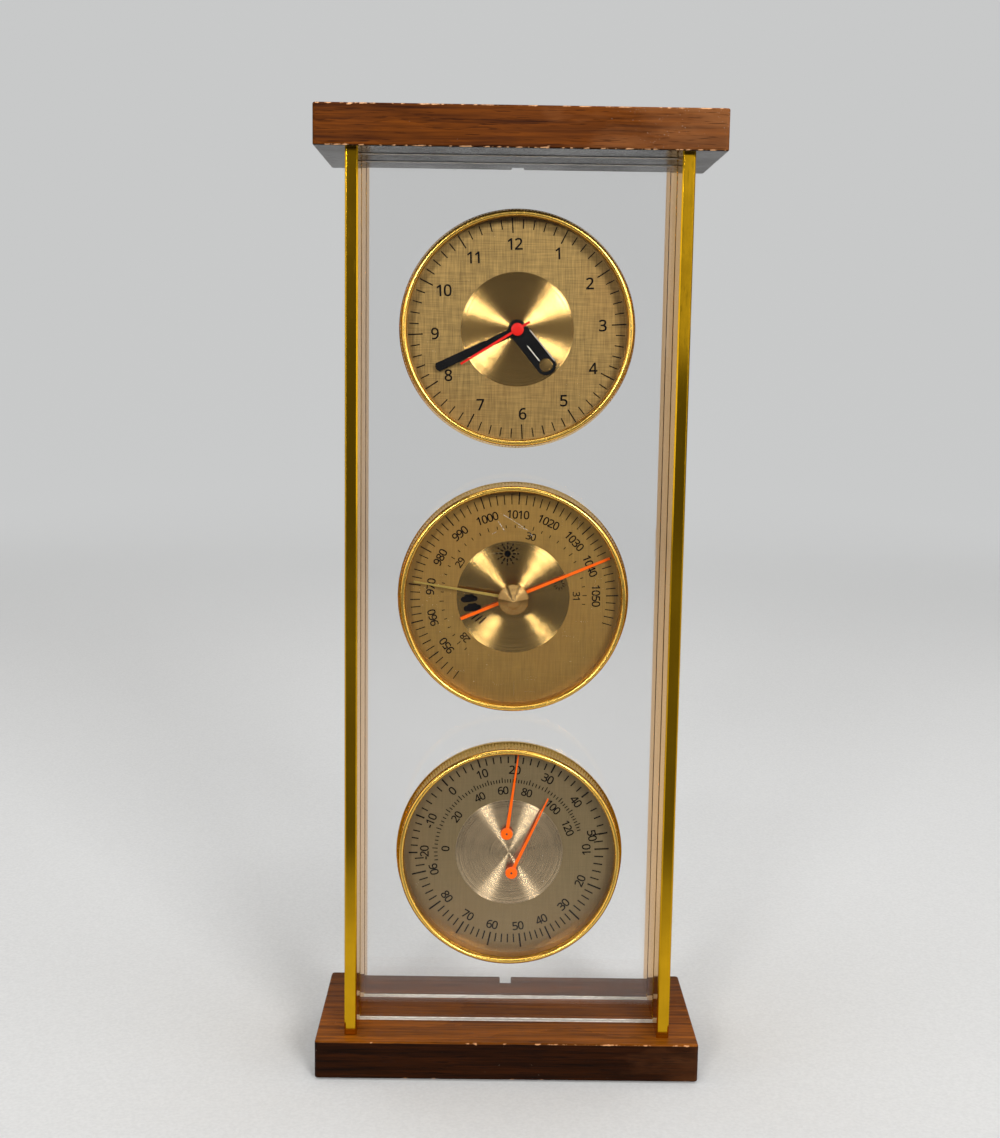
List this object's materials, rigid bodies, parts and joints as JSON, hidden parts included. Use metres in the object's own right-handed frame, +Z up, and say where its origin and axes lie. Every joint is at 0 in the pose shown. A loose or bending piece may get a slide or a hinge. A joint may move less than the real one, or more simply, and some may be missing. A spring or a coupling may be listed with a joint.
{
  "type": "desk weather station",
  "caption": "Desk weather station: clock, barometer and thermometer with hygrometer in a clear panel frame of two walnut boards and gold bars.",
  "frame": {"origin": "centre of the underside of the base", "axes": "+Z up, -Y towards the viewer, +X to the viewer's right"},
  "size_m": [0.127, 0.0572, 0.313],
  "materials": {
    "walnut_base": "dark satin varnish",
    "walnut_top": "dark satin varnish",
    "rail": "polished gold anodised bar",
    "acrylic": "clear polished acrylic sheet",
    "steel": "bright zinc plated",
    "rubber": "black moulded",
    "bezel": "polished gold plated",
    "crystal": "clear lens",
    "clock_dial": "linen brushed, spun centre",
    "baro_dial": "brushed, spun centre",
    "thermo_dial": "brushed champagne, spun centre",
    "case": "drawn can",
    "black_plastic": "moulded black",
    "white_plastic": "moulded natural",
    "hand_black": "gloss black lacquer",
    "hand_red": "red lacquer",
    "needle": "orange red lacquer",
    "wheel": "stamped brass",
    "iron": "soft iron lamination",
    "copper": "enamelled copper winding",
    "board_green": "solder masked board",
    "battery": "plain metal jacket",
    "plate": "stamped plate",
    "capsule": "corrugated nickel silver",
    "spring": "blued spring",
    "knob_brass": "turned, satin",
    "bimetal": "rolled bimetal strip",
    "film": "laminated humidity strip"
  },
  "bodies": {
    "frame": {"base_board": "walnut_base", "top_board": "walnut_top", "left_rail": "rail", "right_rail": "rail", "front_panel": "acrylic", "rear_panel": "acrylic", "frame_screws": "steel", "screw_plugs": "walnut_top", "friction_rings": "rubber", "seat_rings": "bezel", "clock_bezel": "bezel", "clock_crystal": "crystal", "clock_dial": "clock_dial", "clock_case": "case", "movement_housing": "black_plastic", "movement_mid_plate": "white_plastic", "movement_back_plate": "white_plastic", "movement_screws": "steel", "stator": "iron", "coil": "copper", "circuit_board": "board_green", "battery_contacts": "steel", "baro_bezel": "bezel", "baro_crystal": "crystal", "baro_dial": "baro_dial", "baro_case": "case", "baro_lower_plate": "plate", "baro_bridge": "plate", "capsule": "capsule", "hairspring": "spring", "thermo_bezel": "bezel", "thermo_crystal": "crystal", "thermo_dial": "thermo_dial", "thermo_case": "case", "thermo_bridge": "white_plastic", "temperature_coil": "bimetal", "humidity_coil": "film"},
    "minute": {"minute_hand": "hand_black", "minute_arbor": "wheel"},
    "hour": {"hour_hand": "hand_black", "hour_wheel": "wheel"},
    "motion": {"motion_wheel": "wheel"},
    "setting": {"set_knob": "black_plastic"},
    "second": {"second_hand": "hand_red", "second_arbor": "wheel"},
    "fifth": {"fifth_wheel": "white_plastic"},
    "motor": {"rotor": "iron"},
    "third": {"third_wheel": "wheel"},
    "centre": {"centre_wheel": "wheel"},
    "pressure": {"pressure_pointer": "needle", "pressure_arbor": "wheel"},
    "quadrant": {"quadrant": "wheel"},
    "rocker": {"rocker": "wheel"},
    "marker": {"set_hand": "knob_brass", "set_hand_knob": "knob_brass"},
    "adjuster": {"adjusting_screw": "wheel"},
    "cell": {"battery": "battery"},
    "temperature": {"temperature_needle": "needle"},
    "humidity": {"humidity_needle": "needle"}
  },
  "joints": [
    {"name": "minute_turn", "type": "hinge", "parent": "frame", "child": "minute", "pos_m": [0, -0.0114, 0.246], "axis": [0, 1, 0], "continuous": true},
    {"name": "hour_turn", "type": "hinge", "parent": "frame", "child": "hour", "pos_m": [0, -0.0114, 0.246], "axis": [0, 1, 0], "continuous": true},
    {"name": "motion_wheel_turn", "type": "hinge", "parent": "frame", "child": "motion", "pos_m": [0.0075, -0.0114, 0.246], "axis": [0, 1, 0], "continuous": true},
    {"name": "set_knob_turn", "type": "hinge", "parent": "frame", "child": "setting", "pos_m": [0.01125, -0.0114, 0.2525], "axis": [0, 1, 0], "continuous": true},
    {"name": "second_turn", "type": "hinge", "parent": "frame", "child": "second", "pos_m": [0, -0.0114, 0.246], "axis": [0, 1, 0], "continuous": true},
    {"name": "fifth_wheel_turn", "type": "hinge", "parent": "frame", "child": "fifth", "pos_m": [0.003, -0.0114, 0.2512], "axis": [0, 1, 0], "continuous": true},
    {"name": "rotor_turn", "type": "hinge", "parent": "frame", "child": "motor", "pos_m": [0.00203, -0.0114, 0.25671], "axis": [0, 1, 0], "continuous": true},
    {"name": "third_wheel_turn", "type": "hinge", "parent": "frame", "child": "third", "pos_m": [-0.0053, -0.0114, 0.24906], "axis": [0, 1, 0], "continuous": true},
    {"name": "centre_wheel_turn", "type": "hinge", "parent": "frame", "child": "centre", "pos_m": [0, -0.0114, 0.246], "axis": [0, 1, 0], "continuous": true},
    {"name": "pressure_turn", "type": "hinge", "parent": "frame", "child": "pressure", "pos_m": [0, -0.0114, 0.1596], "axis": [0, 1, 0], "range_deg": [-202, 38], "stiffness_Nm_per_rad": 0.002},
    {"name": "quadrant_turn", "type": "hinge", "parent": "frame", "child": "quadrant", "pos_m": [-0.0055, -0.0114, 0.16913], "axis": [0, 1, 0], "range_deg": [-4, 21]},
    {"name": "rocker_turn", "type": "hinge", "parent": "frame", "child": "rocker", "pos_m": [0, 0.0016, 0.1751], "axis": [1, 0, 0], "range_deg": [-4, 1]},
    {"name": "set_hand_turn", "type": "hinge", "parent": "frame", "child": "marker", "pos_m": [0, -0.0114, 0.1596], "axis": [0, 1, 0], "continuous": true},
    {"name": "adjusting_screw_turn", "type": "hinge", "parent": "frame", "child": "adjuster", "pos_m": [0.008, -0.0114, 0.1416], "axis": [0, 1, 0], "continuous": true},
    {"name": "battery_slide", "type": "slide", "parent": "frame", "child": "cell", "axis": [0, 1, 0], "range_m": [0, 0.016]},
    {"name": "temperature_turn", "type": "hinge", "parent": "frame", "child": "temperature", "pos_m": [-0.00087, -0.0114, 0.07974], "axis": [0, 1, 0], "range_deg": [-135, 90], "stiffness_Nm_per_rad": 0.002},
    {"name": "humidity_turn", "type": "hinge", "parent": "frame", "child": "humidity", "pos_m": [0.00087, -0.0114, 0.06666], "axis": [0, 1, 0], "range_deg": [-10, 250], "stiffness_Nm_per_rad": 0.002}
  ],
  "couplings": [
    {"joint": "hour_turn", "follows": "minute_turn", "ratio": 0.083333},
    {"joint": "motion_wheel_turn", "follows": "minute_turn", "ratio": -0.33333},
    {"joint": "set_knob_turn", "follows": "minute_turn", "ratio": 1},
    {"joint": "fifth_wheel_turn", "follows": "second_turn", "ratio": -5},
    {"joint": "rotor_turn", "follows": "second_turn", "ratio": 30},
    {"joint": "third_wheel_turn", "follows": "second_turn", "ratio": -0.13333},
    {"joint": "centre_wheel_turn", "follows": "second_turn", "ratio": 0.016667},
    {"joint": "quadrant_turn", "follows": "pressure_turn", "ratio": -0.1},
    {"joint": "rocker_turn", "follows": "pressure_turn", "ratio": 0.01846}
  ]
}
